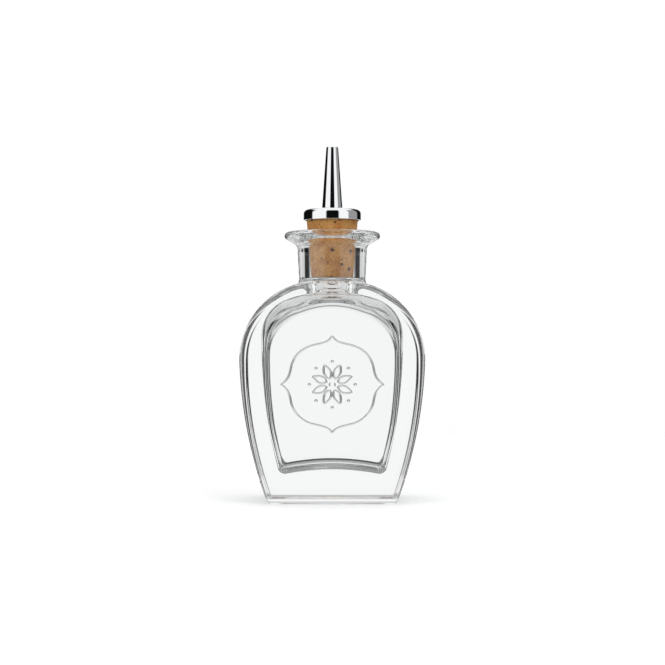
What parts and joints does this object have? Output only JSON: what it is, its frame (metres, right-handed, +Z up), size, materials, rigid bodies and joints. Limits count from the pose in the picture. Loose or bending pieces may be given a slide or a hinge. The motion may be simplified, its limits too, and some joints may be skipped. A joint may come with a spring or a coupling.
{
  "type": "bitters bottle",
  "caption": "Flat-sided clear glass bitters bottle with rounded shoulders, flared lip and a tapered cork stopper carrying a chromed cap and narrow dasher spout.",
  "frame": {"origin": "centre of the base, on the plane the bottle stands on", "axes": "+Z up through the neck and spout, the broad front faces -Y, +X to the right seen from the front"},
  "size_m": [0.0724, 0.041, 0.141],
  "materials": {
    "clear_glass": "pressed clear glass, fire polished",
    "natural_cork": "ground natural cork",
    "chromed_cap": "polished chrome",
    "chromed_spout": "polished chrome",
    "stainless_stem": "drawn stainless steel"
  },
  "bodies": {
    "glass": {"bottle": "clear_glass"},
    "stopper": {"cork": "natural_cork", "cap": "chromed_cap", "spout": "chromed_spout", "stem_tube": "stainless_stem", "stem_washer": "stainless_stem"}
  },
  "joints": [
    {"name": "stopper_lift", "type": "slide", "parent": "glass", "child": "stopper", "axis": [0, 0, 1], "range_m": [0, 0.045]}
  ]
}
